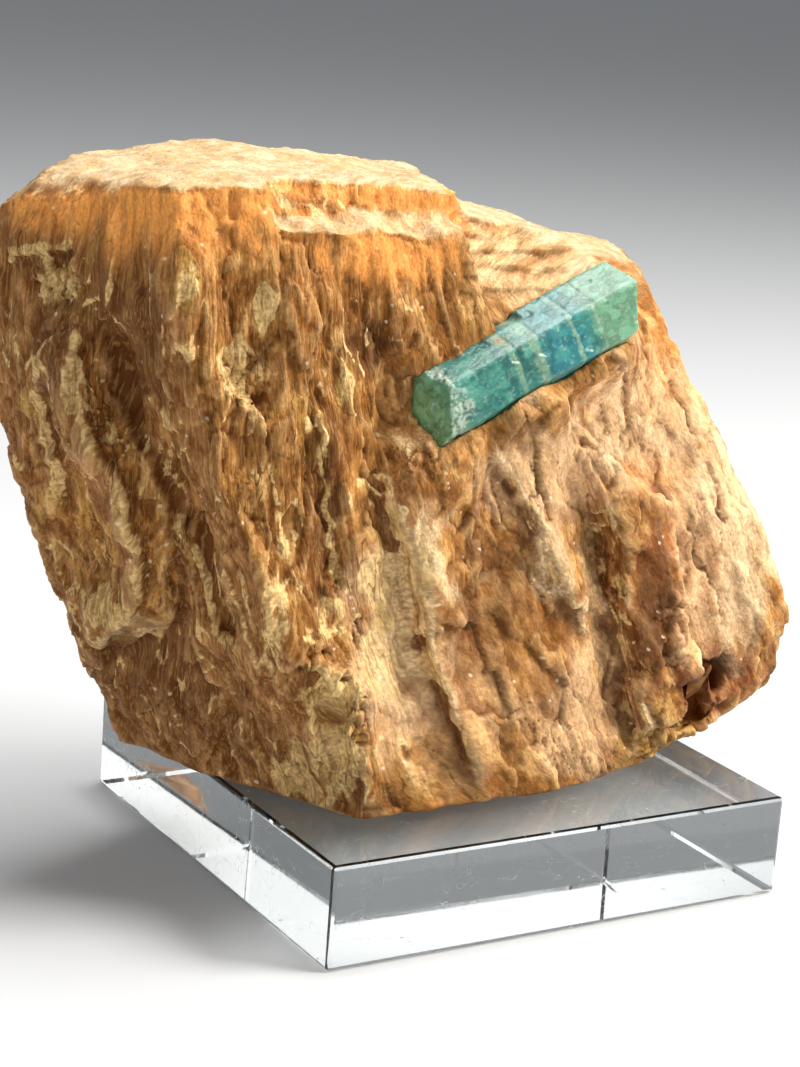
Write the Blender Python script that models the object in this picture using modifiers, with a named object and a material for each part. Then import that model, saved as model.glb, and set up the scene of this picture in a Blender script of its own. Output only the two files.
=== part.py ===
"""Rough beryl: a blue-green beryl prism grown in a block of feldspar, resting on a clear stand.

Metres, +Z up. The origin is the middle of the stand's underside, and the stand's sides run along
X and Y. The block's front face looks along -Y and its left face along -X. Sizes and points are
given in millimetres, and turned into metres where a shape is made.
"""
import math

import bmesh
import bpy
import numpy as np
from mathutils import Matrix, Vector, noise

MM = 0.001

# Clear stand, and the gaps that touching pieces keep
STAND_SIDE = 50.0
STAND_HEIGHT = 10.0
STAND_ROUNDING = 0.4
REST_GAP = 0.3
SOCKET_GAP = 0.3

# The beryl's middle, its long axis (the heading turns away to the right), and its section, whose
# roll lifts its edges from the front towards the top
CRYSTAL_CENTRE = (-1.8, -12.2, 51.7)
CRYSTAL_RISE = math.radians(23.8)
CRYSTAL_HEADING = math.radians(3.0)
CRYSTAL_ROLL = math.radians(-20.0)
CRYSTAL_SIDE = 4.33
CRYSTAL_ROUNDING = 0.15

# Each end of the beryl: how far along it lies, how much it slants, and to which side
CRYSTAL_LEFT_END = (-12.2, 0.64, math.radians(45.0))
CRYSTAL_RIGHT_END = (10.9, 0.5, math.radians(60.0))

# A splinter is missing from the left half of the beryl's upper rear edge
CRYSTAL_STEP_AT = 1.4
CRYSTAL_STEP_DEPTH = 0.7
CRYSTAL_REAR_EDGE = CRYSTAL_ROLL + math.radians(120.0)

# The block before its steps and hollows: the corners that its broken faces meet in
BLOCK_CORNERS = [
    # Top, nearly level
    (-36.3, -9.5, 67.5), (-22.0, -12.0, 68.0), (-10.5, -12.0, 67.0), (-40.5, 8.0, 66.4),
    (-35.0, 14.0, 67.3), (-21.0, 17.0, 68.2), (0.0, 15.5, 66.2), (22.0, 11.0, 58.8),
    # Left side
    (-43.8, 9.0, 63.0), (-46.0, 12.0, 52.0), (-43.0, 9.0, 41.5), (-36.8, 9.0, 27.0),
    (-32.6, 7.0, 16.5),
    # Edge between the left and the front face
    (-35.6, -12.0, 57.0), (-33.0, -14.4, 42.5), (-27.0, -15.8, 29.7), (-18.5, -16.8, 14.2),
    # Right end
    (17.0, -3.0, 59.4), (19.0, -8.5, 51.5), (25.4, -11.0, 38.5), (34.4, -11.5, 26.0),
    (35.4, -10.5, 18.0), (34.0, -8.5, 14.2), (28.0, -8.0, 12.6), (31.0, 8.0, 17.0),
    (31.0, 11.0, 30.0),
    # Underside, a little below the flat spot that is cut at the end
    (-17.0, -16.8, 9.0), (4.0, -16.8, 9.0), (14.0, -13.0, 9.0), (20.0, -8.0, 9.0),
    (18.0, 10.0, 9.0), (-24.0, 14.0, 9.0), (-29.0, 10.0, 9.5), (-24.5, -3.0, 9.0),
]

# What has broken away from the block, each as the corners of the missing lump
BREAKS = {
    "ledge_under_top": [
        (-27.5, -8.6, 65.4), (-7.0, -8.6, 64.4), (-27.5, -15.0, 63.2), (-7.0, -15.0, 62.2),
        (-27.5, -8.6, 72.0), (-7.0, -8.6, 72.0), (-27.5, -15.0, 72.0), (-7.0, -15.0, 72.0),
    ],
    "second_step": [
        (-9.5, -18.0, 65.0), (5.0, 20.0, 63.2), (30.0, 20.0, 58.5), (30.0, -18.0, 60.5),
        (-12.5, -18.0, 75.0), (-2.5, 20.0, 75.0), (30.0, 20.0, 75.0), (30.0, -18.0, 75.0),
    ],
    "third_step": [
        (5.0, -18.0, 61.8), (12.0, 20.0, 60.4), (30.0, 20.0, 57.6), (30.0, -18.0, 60.0),
        (4.0, -18.0, 70.0), (10.8, 20.0, 70.0), (30.0, 20.0, 70.0), (30.0, -18.0, 70.0),
    ],
    "hollow_above_crystal": [
        (-8.0, -18.0, 66.0), (22.0, -18.0, 66.0), (-4.6, -18.0, 54.0), (10.0, -18.0, 58.8),
        (-4.4, -12.0, 54.2), (10.0, -12.0, 59.0), (-7.4, -4.5, 62.6), (13.0, -4.0, 62.4),
        (-8.0, -4.5, 66.0), (13.0, -4.0, 66.0),
    ],
    "notch_under_bulge": [
        (20.5, -20.0, 19.0), (23.5, -20.0, 19.4), (28.5, -20.0, 14.6), (27.0, -20.0, 10.0),
        (19.5, -20.0, 14.5), (21.5, -6.5, 18.0), (26.5, -7.0, 14.5), (21.0, -6.5, 14.0),
    ],
}

# Each face of the block: where it points, which two of x, y, z its relief is drawn in, and
# whether the first of the two runs to the right (1) or to the left (-1) as the face is looked at
FACES = {
    "front": ((0.0, -1.0, 0.0), (0, 2), 1.0),
    "left": ((-1.0, 0.0, 0.0), (1, 2), -1.0),
    "back": ((0.0, 1.0, 0.0), (0, 2), -1.0),
    "right": ((1.0, 0.0, 0.0), (1, 2), 1.0),
}

# Broken edges of plates: face, rise on the high side, drop on the low side, reach to either side,
# and the edge's points. The high side is on the left of the line as it is walked.
SCARPS = [
    # Curved ridge below the beryl, with a shaded dip under it
    ("front", 0.9, 1.7, 5.0, [(18.5, 37.0), (14.4, 38.4), (9.5, 41.6), (4.8, 45.4), (0.0, 49.5),
                              (-3.0, 51.5)]),
    # The two walls of the channel that parts the right-hand bulge from the block
    ("front", 0.8, 2.4, 5.5, [(24.5, 13.0), (24.0, 16.6), (21.7, 21.3), (19.4, 26.7),
                              (18.4, 31.0), (18.4, 35.0)]),
    ("front", 0.5, 2.2, 4.5, [(4.0, 44.0), (7.0, 39.9), (10.2, 33.3), (11.0, 27.9), (12.9, 23.7),
                              (14.4, 20.7), (13.4, 18.6), (14.7, 15.4), (14.0, 10.0)]),
    # Slanting plates in the middle of the front face
    ("front", 0.7, 0.5, 3.5, [(-7.5, 46.0), (-4.4, 42.1), (-1.3, 39.0), (0.7, 34.0), (3.6, 29.9),
                              (6.3, 26.6), (9.1, 23.2)]),
    ("front", 0.6, 0.6, 4.0, [(-17.5, 45.0), (-15.5, 38.2), (-13.8, 34.4), (-12.5, 30.6),
                              (-11.7, 25.8), (-9.9, 21.8), (-8.0, 17.8), (-6.4, 14.2),
                              (-4.4, 10.0)]),
    # Flaky patch at the foot of the front edge
    ("front", 1.2, 0.5, 2.5, [(-27.0, 27.0), (-24.7, 25.7), (-21.6, 23.1), (-19.5, 22.0),
                              (-20.9, 19.3), (-19.6, 15.4), (-18.0, 13.3), (-17.9, 10.0)]),
    # Thick plate on the left face, overhanging at its foot, and a thin one beside it
    ("left", 1.5, 1.7, 5.0, [(8.5, 21.0), (4.2, 22.3), (1.0, 24.9), (-1.9, 26.4), (-3.8, 29.4),
                             (-5.1, 33.1), (-6.0, 38.1), (-5.3, 41.7), (-3.8, 44.1),
                             (-2.0, 47.4), (-2.0, 57.0)]),
    ("left", 0.7, 0.7, 3.0, [(-11.5, 26.0), (-9.3, 27.4), (-8.7, 31.1), (-7.8, 34.3),
                             (-7.0, 38.5)]),
    # Cleavage steps on the sides that the front view doesn't show
    ("back", 1.0, 2.2, 8.0, [(-30.0, 60.0), (-22.0, 44.0), (-20.0, 30.0), (-26.0, 12.0)]),
    ("back", 1.0, 2.0, 7.0, [(4.0, 62.0), (6.0, 46.0), (12.0, 34.0), (10.0, 12.0)]),
    ("right", 0.8, 1.8, 6.0, [(-4.0, 56.0), (2.0, 42.0), (1.0, 30.0), (4.0, 14.0)]),
]

# Narrow ridges (positive) and cracks (negative): face, height, half width and points
SEAMS = [
    ("front", -1.1, 0.9, [(-23.4, 47.0), (-22.0, 38.7), (-21.4, 35.0), (-20.2, 30.5)]),
    ("front", -0.5, 0.9, [(-7.6, 36.5), (-7.0, 32.5), (-6.4, 29.5)]),
    ("front", 0.9, 1.1, [(-31.2, 40.0), (-28.6, 32.0), (-26.4, 26.8), (-24.6, 20.5)]),
    ("front", 0.8, 1.8, [(-3.0, 41.0), (-0.8, 38.0), (0.2, 33.0)]),
    ("front", 1.2, 1.6, [(-28.5, 64.0), (-25.5, 65.0), (-22.0, 64.6), (-19.0, 63.6)]),
    # The seat that the feldspar makes under the beryl and around its lower left corner
    ("front", 2.0, 3.2, [(-15.0, 42.6), (-11.0, 43.8), (-4.0, 47.0), (4.0, 50.6), (12.0, 54.4)]),
    ("front", 2.4, 3.4, [(-6.0, 46.6), (2.0, 49.6), (9.0, 52.8), (15.0, 55.6)]),
    ("front", 1.9, 3.4, [(-16.0, 42.6), (-13.0, 41.4), (-9.0, 41.2), (-5.0, 42.6)]),
    ("front", -1.6, 1.5, [(-15.8, 53.0), (-14.9, 50.5), (-14.5, 48.0), (-14.6, 45.0)]),
    ("left", 0.8, 1.4, [(7.0, 59.9), (1.5, 61.9)]),
    ("left", 0.6, 1.0, [(4.2, 46.0), (1.8, 48.5), (-0.2, 52.5)]),
]
STEP_SOFTNESS = 0.45
LINE_TAPER = 0.2

# Natural roughness, as its size across and along the upright grain of the stone, and its height
LUMPS = (8.0, 13.0, 0.5)
STRIATIONS = (1.7, 14.0, 0.45)
GRAINS = (2.6, 4.0, 0.28)

VOXEL = 0.7
BLOCK_TRIANGLES = 7000


def collection(name):
    """A new collection in the scene."""
    made = bpy.data.collections.new(name)
    bpy.context.scene.collection.children.link(made)
    return made


def material(name, colour, roughness):
    """A plain material of one colour and roughness."""
    made = bpy.data.materials.new(name)
    made.use_nodes = True
    shader = made.node_tree.nodes["Principled BSDF"]
    shader.inputs["Base Color"].default_value = (*colour, 1.0)
    shader.inputs["Roughness"].default_value = roughness
    shader.inputs["Metallic"].default_value = 0.0
    return made


def link_mesh(name, bm, home):
    """An object of the given bmesh, in the given collection."""
    mesh = bpy.data.meshes.new(name)
    bm.to_mesh(mesh)
    bm.free()
    made = bpy.data.objects.new(name, mesh)
    home.objects.link(made)
    return made


def hull(name, corners, home):
    """A solid with flat faces around the given corners (mm)."""
    bm = bmesh.new()
    for corner in corners:
        bm.verts.new(Vector(corner) * MM)
    found = bmesh.ops.convex_hull(bm, input=bm.verts)
    inside = [vert for vert in found["geom_interior"] if isinstance(vert, bmesh.types.BMVert)]
    bmesh.ops.delete(bm, geom=inside, context="VERTS")
    bmesh.ops.recalc_face_normals(bm, faces=bm.faces)
    return link_mesh(name, bm, home)


def cut(target, cutter):
    """Take the cutter's shape out of the target, and show the cutter as wire only."""
    cutter.hide_render = True
    cutter.display_type = "WIRE"
    modifier = target.modifiers.new("cut " + cutter.name, "BOOLEAN")
    modifier.operation = "DIFFERENCE"
    modifier.solver = "EXACT"
    modifier.object = cutter


def apply_modifiers(target):
    """Give the target the mesh that its modifiers make."""
    graph = bpy.context.evaluated_depsgraph_get()
    finished = bpy.data.meshes.new_from_object(target.evaluated_get(graph))
    target.modifiers.clear()
    target.data = finished


def ease(value):
    """A smooth step from 0 to 1."""
    value = np.clip(value, 0.0, 1.0)
    return value * value * (3.0 - 2.0 * value)


def line_distance(flat, points):
    """Distance of flat points from a line, positive on its right, and a weight that fades it
    out towards the line's two ends."""
    line = np.array(points)
    runs = line[1:] - line[:-1]
    lengths = np.linalg.norm(runs, axis=1)
    reached = np.concatenate(([0.0], np.cumsum(lengths)))
    nearest = np.full(len(flat), np.inf)
    signed = np.zeros(len(flat))
    along = np.zeros(len(flat))
    for start, run, length, before in zip(line, runs, lengths, reached):
        to_point = flat - start
        part_way = np.clip(to_point @ run / length ** 2, 0.0, 1.0)
        distance = np.linalg.norm(to_point - part_way[:, None] * run, axis=1)
        on_left = run[0] * to_point[:, 1] - run[1] * to_point[:, 0] > 0.0
        closer = distance < nearest
        nearest = np.where(closer, distance, nearest)
        signed = np.where(closer, np.where(on_left, -distance, distance), signed)
        along = np.where(closer, before + part_way * length, along)
    from_end = np.minimum(along, reached[-1] - along)
    return signed, ease(from_end / (LINE_TAPER * reached[-1]))


def on_face(face, points, normals, line):
    """Signed distance from a line drawn on a face, how much each point belongs to that face and
    stretch, and where the face points."""
    direction, axes, handed = FACES[face]
    distance, weight = line_distance(points[:, axes], line)
    facing = ease((normals @ np.array(direction) - 0.35) / 0.35)
    return handed * distance, weight * facing, np.array(direction)


def roughness(points, across, along, height, seed):
    """Smooth noise of the given size (mm), longer along the upright grain."""
    scaled = (points + seed) / np.array((across, across, along))
    return height * np.array([noise.fractal(Vector(point), 0.9, 2.0, 3) for point in scaled])


def read_vectors(vertices, field):
    """The points or normals of a mesh as an array."""
    values = np.empty(3 * len(vertices), dtype=np.float32)
    vertices.foreach_get(field, values)
    return values.reshape(-1, 3).astype(float)


def give_relief(mesh):
    """Move the block's surface in and out: scarps, seams, lumps, striations and grains."""
    points = read_vectors(mesh.vertices, "co") / MM
    normals = read_vectors(mesh.vertices, "normal")
    moved = points.copy()
    for face, rise, drop, reach, line in SCARPS:
        distance, share, direction = on_face(face, points, normals, line)
        low = 0.5 + 0.5 * np.tanh(distance / STEP_SOFTNESS)
        height = np.exp(-(distance / reach) ** 2) * (rise * (1.0 - low) - drop * low)
        moved += (height * share)[:, None] * direction
    for face, rise, half_width, line in SEAMS:
        distance, share, direction = on_face(face, points, normals, line)
        height = rise * np.exp(-(distance / half_width) ** 2)
        moved += (height * share)[:, None] * direction
    upright = 1.0 - np.abs(normals[:, 2])
    height = roughness(points, *LUMPS, 50.0) + roughness(points, *GRAINS, 90.0)
    height += roughness(points, *STRIATIONS, 0.0) * upright
    moved += height[:, None] * normals
    mesh.vertices.foreach_set("co", (moved * MM).astype(np.float32).ravel())
    mesh.update()


def crystal_frame():
    """The beryl's place: local Z runs along it, X points up across it and Y to the front."""
    rise, heading = CRYSTAL_RISE, CRYSTAL_HEADING
    along = Vector((math.cos(rise) * math.cos(heading), math.cos(rise) * math.sin(heading),
                    math.sin(rise)))
    up = Vector((-math.sin(rise) * math.cos(heading), -math.sin(rise) * math.sin(heading),
                 math.cos(rise)))
    frame = Matrix((up, along.cross(up), along)).transposed().to_4x4()
    frame.translation = Vector(CRYSTAL_CENTRE) * MM
    return frame


def section_direction(angle):
    """The direction across the beryl at an angle turned from its front towards its top."""
    return Vector((math.sin(angle), math.cos(angle), 0.0))


def prism(name, side, extra, home):
    """A six-sided prism in the beryl's place, with slanted ends that reach extra (mm) further."""
    bm = bmesh.new()
    uncut_length = 4.0 * CRYSTAL_RIGHT_END[0]
    bmesh.ops.create_cone(bm, cap_ends=True, segments=6, radius1=side * MM, radius2=side * MM,
                          depth=uncut_length * MM, matrix=Matrix.Rotation(-CRYSTAL_ROLL, 4, "Z"))
    for reach, slant, towards in (CRYSTAL_LEFT_END, CRYSTAL_RIGHT_END):
        outward = math.copysign(1.0, reach)
        normal = outward * (Vector((0.0, 0.0, 1.0)) - slant * section_direction(towards))
        sliced = bmesh.ops.bisect_plane(bm, geom=bm.verts[:] + bm.edges[:] + bm.faces[:],
                                        plane_co=(0.0, 0.0, (reach + outward * extra) * MM),
                                        plane_no=normal, clear_outer=True)
        rim = [edge for edge in sliced["geom_cut"] if isinstance(edge, bmesh.types.BMEdge)]
        bmesh.ops.contextual_create(bm, geom=rim)
    bmesh.ops.recalc_face_normals(bm, faces=bm.faces)
    made = link_mesh(name, bm, home)
    made.matrix_world = crystal_frame()
    return made


def splinter(home):
    """The splinter that is missing from the beryl's upper rear edge."""
    outward = section_direction(CRYSTAL_REAR_EDGE)
    across = section_direction(CRYSTAL_REAR_EDGE + math.radians(90.0))
    corners = [outward * out + across * aside + Vector((0.0, 0.0, along))
               for out in (CRYSTAL_SIDE - CRYSTAL_STEP_DEPTH, 2.0 * CRYSTAL_SIDE)
               for aside in (-CRYSTAL_SIDE, CRYSTAL_SIDE)
               for along in (2.0 * CRYSTAL_LEFT_END[0], CRYSTAL_STEP_AT)]
    made = hull("beryl_splinter", corners, home)
    made.matrix_world = crystal_frame()
    return made


def feldspar_block(home, cutters):
    """The stone: broken faces and steps, then relief, a socket for the beryl and a flat spot."""
    block = hull("feldspar_matrix", BLOCK_CORNERS, home)
    for name, corners in BREAKS.items():
        cut(block, hull(name, corners, cutters))
    even_faces = block.modifiers.new("even faces", "REMESH")
    even_faces.mode = "VOXEL"
    even_faces.voxel_size = VOXEL * MM
    apply_modifiers(block)
    give_relief(block.data)
    fewer_faces = block.modifiers.new("fewer faces", "DECIMATE")
    fewer_faces.ratio = BLOCK_TRIANGLES / (2.0 * len(block.data.polygons))
    socket_side = CRYSTAL_SIDE + SOCKET_GAP / math.cos(math.radians(30.0))
    cut(block, prism("socket", socket_side, SOCKET_GAP, cutters))
    below = [(x, y, z) for x in (-STAND_SIDE, STAND_SIDE) for y in (-STAND_SIDE, STAND_SIDE)
             for z in (0.0, STAND_HEIGHT + REST_GAP)]
    cut(block, hull("below_flat_spot", below, cutters))
    block.data.materials.clear()
    block.data.materials.append(material("feldspar", (0.55, 0.30, 0.14), 0.6))


def beryl(home, cutters):
    """The beryl prism, with its missing splinter and worn edges."""
    crystal = prism("beryl_crystal", CRYSTAL_SIDE, 0.0, home)
    cut(crystal, splinter(cutters))
    worn = crystal.modifiers.new("worn edges", "BEVEL")
    worn.width = CRYSTAL_ROUNDING * MM
    worn.segments = 1
    crystal.data.materials.append(material("beryl", (0.12, 0.45, 0.38), 0.15))


def clear_stand(home):
    """The square stand, with softened edges."""
    bm = bmesh.new()
    bmesh.ops.create_cube(bm, size=1.0)
    size = Vector((STAND_SIDE, STAND_SIDE, STAND_HEIGHT)) * MM
    bmesh.ops.scale(bm, verts=bm.verts, vec=size)
    bmesh.ops.translate(bm, verts=bm.verts, vec=(0.0, 0.0, 0.5 * size.z))
    stand = link_mesh("acrylic_base", bm, home)
    softened = stand.modifiers.new("softened edges", "BEVEL")
    softened.width = STAND_ROUNDING * MM
    softened.segments = 2
    stand.data.materials.append(material("clear_acrylic", (0.85, 0.88, 0.90), 0.05))


for old in list(bpy.context.scene.objects):
    bpy.data.objects.remove(old)
parts_home = collection("rough_beryl")
cutters_home = collection("cutters")
clear_stand(parts_home)
feldspar_block(parts_home, cutters_home)
beryl(parts_home, cutters_home)
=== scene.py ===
"""Rough beryl in a feldspar block on a clear stand: fine surfaces, materials, light and camera."""
import itertools
import math

import bmesh
import bpy
import numpy as np
from mathutils import Matrix, Vector


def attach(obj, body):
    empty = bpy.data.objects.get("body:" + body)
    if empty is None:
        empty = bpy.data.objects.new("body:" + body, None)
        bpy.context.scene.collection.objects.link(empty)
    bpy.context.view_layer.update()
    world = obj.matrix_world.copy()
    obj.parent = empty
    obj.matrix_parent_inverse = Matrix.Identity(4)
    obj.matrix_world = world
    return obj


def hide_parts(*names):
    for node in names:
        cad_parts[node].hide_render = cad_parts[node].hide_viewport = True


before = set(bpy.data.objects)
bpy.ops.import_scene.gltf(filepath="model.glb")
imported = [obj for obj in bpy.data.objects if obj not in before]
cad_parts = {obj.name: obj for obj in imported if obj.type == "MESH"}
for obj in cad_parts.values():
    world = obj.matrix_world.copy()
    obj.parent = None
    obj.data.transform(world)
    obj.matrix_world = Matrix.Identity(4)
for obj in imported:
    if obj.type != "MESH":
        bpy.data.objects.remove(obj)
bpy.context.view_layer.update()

MM = 0.001
BODY = "root"

# Camera: place (m), turn to the left of the front, height above level, roll, and lens (mm) for
# a picture 36 mm high
CAMERA_PLACE = (-0.1284, -0.20275, 0.09535)
CAMERA_TURN = math.radians(-31.2)
CAMERA_DIP = math.radians(14.93)
CAMERA_ROLL = math.radians(4.16)
CAMERA_LENS = 85.3

# Fineness of the stone's and the beryl's surfaces (mm), and how they are evened out
STONE_VOXEL = 0.25
STONE_TRIANGLES = 190000
STONE_ROUNDS = 16
CALM_ROUNDS = 70
EVENING_SHARE = 0.6
BERYL_VOXEL = 0.16
BERYL_ROUNDS = 3
BERYL_EVENING_SHARE = 0.5

# The gap round the beryl in the solids, and what is left of it here (mm); how far from the beryl
# the stone is drawn up to it, and the distance over which the stone's relief sets in
SOCKET_GAP = 0.3
CLOSED_GAP = 0.03
SEAT_REACH = 1.5
SOCKET_MARGIN = 0.7

# Heights (mm): the flat spot that the stone rests on, and the stone's top
FLAT_SPOT_HEIGHT = 10.3
TOP_HEIGHT = 67.0

# Air under the stand, so that light is mirrored at its underside
FLOOR_GAP = 0.0001

# The beryl's middle (mm), rise and heading along its length, and the side of its hexagon; its
# ends as reach along it, slant, and the direction that the slant faces; and its missing splinter
CRYSTAL_CENTRE = (-1.8, -12.2, 51.7)
CRYSTAL_RISE = math.radians(23.8)
CRYSTAL_HEADING = math.radians(3.0)
CRYSTAL_ROLL = math.radians(-20.0)
CRYSTAL_SIDE = 4.33
CRYSTAL_LEFT_END = (-12.2, 0.64, math.radians(45.0))
CRYSTAL_RIGHT_END = (10.9, 0.5, math.radians(60.0))
CRYSTAL_STEP_AT = 1.4
CRYSTAL_STEP_DEPTH = 0.7
CRYSTAL_REAR_EDGE = CRYSTAL_ROLL + math.radians(120.0)

# Pale and dark bands across the beryl: middle along it and half width (mm)
BERYL_BANDS = [(-2.2, 0.35), (0.2, 0.6), (4.6, 0.3), (7.3, 0.25)]
BERYL_DARK_BANDS = [(-3.3, 0.5), (-1.25, 0.4)]
# A rusty fleck on the beryl: up across it, to its front, and along it
RUST_FLECK = (3.6, 1.6, -2.2)

# Faces of the block: where each points, which two of x, y, z its marks are drawn in, whether the
# first of the two runs to the right (1) or to the left (-1), and how far a surface may turn away
# from it and still take its marks
FACES = {
    "front": ((0.0, -1.0, 0.0), (0, 2), 1.0, 0.1),
    "inner front": ((0.0, -1.0, 0.0), (0, 2), 1.0, -0.95),
    "left": ((-1.0, 0.0, 0.0), (1, 2), -1.0, 0.1),
    "back": ((0.0, 1.0, 0.0), (0, 2), -1.0, 0.1),
    "right": ((1.0, 0.0, 0.0), (1, 2), 1.0, 0.1),
    "top": ((0.0, 0.0, 1.0), (0, 1), 1.0, 0.1),
}

# Crisp broken edges along the block's main steps: face, height of the step, and its points
EDGES = [
    ("front", 0.9, [(19.5, 36.0), (14.4, 38.4), (9.5, 41.6), (4.8, 45.4), (0.0, 49.5)]),
    ("front", 1.3, [(24.5, 13.0), (24.0, 16.6), (21.7, 21.3), (19.4, 26.7), (18.4, 31.0),
                    (18.4, 35.0)]),
    ("front", 0.9, [(7.0, 39.9), (10.2, 33.3), (11.0, 27.9), (12.9, 23.7),
                    (14.4, 20.7), (13.4, 18.6), (14.7, 15.4), (14.0, 10.0)]),
    ("front", 0.7, [(-7.5, 46.0), (-4.4, 42.1), (-1.3, 39.0), (0.7, 34.0), (3.6, 29.9),
                    (6.3, 26.6), (9.1, 23.2)]),
    ("front", 1.3, [(-17.5, 45.0), (-15.5, 38.2), (-13.8, 34.4), (-12.5, 30.6), (-11.7, 25.8),
                    (-9.9, 21.8), (-8.0, 17.8), (-6.4, 14.2), (-4.4, 10.0)]),
    ("front", 1.4, [(-27.0, 27.0), (-24.7, 25.7), (-21.6, 23.1), (-19.5, 22.0), (-20.9, 19.3),
                    (-19.6, 15.4), (-18.0, 13.3), (-17.9, 10.0)]),
    ("front", 0.9, [(-23.5, 50.0), (-22.9, 42.0), (-21.8, 37.0), (-21.2, 31.0)]),
    ("left", 2.6, [(8.5, 21.0), (4.2, 22.3), (1.0, 24.9), (-1.9, 26.4), (-3.8, 29.4),
                   (-5.1, 33.1), (-6.0, 38.1), (-5.3, 41.7), (-3.8, 44.1), (-2.0, 47.4),
                   (-2.0, 57.0)]),
    ("left", 1.1, [(-11.5, 26.0), (-9.3, 27.4), (-8.7, 31.1), (-7.8, 34.3), (-7.0, 38.5)]),
    ("left", 0.8, [(6.0, 34.0), (4.0, 39.0), (4.6, 46.0), (1.8, 48.5), (-0.2, 52.5)]),
    ("left", 0.8, [(7.0, 57.9), (3.5, 59.9), (-0.5, 60.6)]),
    ("back", 1.2, [(-30.0, 60.0), (-22.0, 44.0), (-20.0, 30.0), (-26.0, 12.0)]),
    ("back", 1.2, [(4.0, 62.0), (6.0, 46.0), (12.0, 34.0), (10.0, 12.0)]),
    ("right", 1.0, [(-4.0, 56.0), (2.0, 42.0), (1.0, 30.0), (4.0, 14.0)]),
]
# How far an edge's step reaches, how sharp it is, and across it the middle and half width of its
# painted bright lip and of its painted shaded foot (mm)
EDGE_REACH = 3.4
EDGE_SHARPNESS = 0.16
EDGE_LIP = (-0.35, 0.4)
EDGE_FOOT = (0.6, 0.7)

# Hollows broken out of the faces: face, middle, half width, half height and depth (mm)
PITS = [
    ("inner front", (24.6, 17.8), 5.4, 2.2, 2.6),
    ("inner front", (23.5, 13.8), 7.0, 1.8, 1.6),
    ("front", (-17.6, 53.8), 2.8, 2.4, 0.9),
    ("front", (-16.0, 47.5), 1.6, 3.0, 0.5),
    ("front", (-4.6, 29.5), 4.0, 6.0, 0.7),
    ("front", (-21.6, 20.5), 2.0, 1.6, 0.8),
    ("left", (-6.0, 19.0), 4.0, 3.0, 0.8),
]

# A calm stretch, where the stone's larger hollows are shallow: face, middle, half width and half
# height (mm)
CALM_STRETCH = ("front", (2.0, 41.0), 11.0, 7.0)

# Clusters of small square crystals: face, middle, half width and half height (mm)
CLUSTERS = [
    ("front", (-20.8, 18.5), 3.4, 7.5),
    ("front", (-22.0, 27.0), 2.6, 2.4),
    ("front", (-30.0, 51.5), 2.0, 3.6),
    ("front", (20.0, 13.0), 5.0, 2.6),
    ("front", (17.5, 24.0), 1.6, 5.0),
    ("left", (1.5, 57.5), 3.0, 2.4),
]

# Fine relief of the stone (mm): size of its cells across, across and along the grain, and height
COARSE_BLOCKS = ((3.6, 3.6, 9.0), 0.30)
MIDDLING_BLOCKS = ((1.5, 1.5, 4.2), 0.13)
CLUSTER_CRYSTALS = ((1.3, 1.3, 1.5), 0.42)
BROAD_PLATES = ((6.5, 6.5, 18.0), 0.34)
NARROW_PLATES = ((2.4, 2.4, 7.0), 0.14)
SPLINTERS = ((0.7, 0.7, 14.0), 0.12)
SLIVERS = ((1.9, 1.9, 26.0), 0.20)
CRACKS = ((3.4, 3.4, 15.0), 0.22)
LUMPS = ((3.2, 3.2, 4.5), 0.16)
GRAINS = ((1.0, 1.0, 1.3), 0.06)
RIM_NIBBLES = ((2.6, 2.6, 2.6), 0.30)
LEDGE_WAVE = 0.7
LEVEL_SPACING = 1.5
LEVEL_STEP = 0.5

# Middle (x, z) and half sizes of the right-hand bulge, which has no cracks (mm)
BULGE = ((27.0, 32.0), (12.0, 24.0))

# Hollows that catch shade: rounds of evening out that find them, and how deep a full one is (mm)
FINE_HOLLOWS = (5, 0.14)
WIDE_HOLLOWS = (40, 0.45)

# Where kinds of surface begin (mm) and the distance over which they set in, which is negative
# where they lie below, to the left or to the front of that place
FLAT_TOP_ABOVE = (52.0, 4.0)
RIM_ABOVE = (64.5, 1.5)
LEDGE_BELOW = (65.5, -1.0)
LEDGE_LEFT_OF = (-6.0, -3.0)
LEVELS_ABOVE = (55.0, 3.0)
LEVELS_RIGHT_OF = (-9.0, 2.0)
FIBROUS_LEFT_OF = (-6.0, -16.0)
SMOOTHER_ABOVE = (58.0, 5.0)
GLOW_LEFT_OF = (22.0, -14.0)
LEANING_RIGHT_OF = (-30.0, 34.0)
LEANING_FRONT_OF = (-4.0, -6.0)
RELIEF_ABOVE = (FLAT_SPOT_HEIGHT + 0.1, 0.5)
CRUST_LEFT_OF = (-8.0, -1.4)

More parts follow.
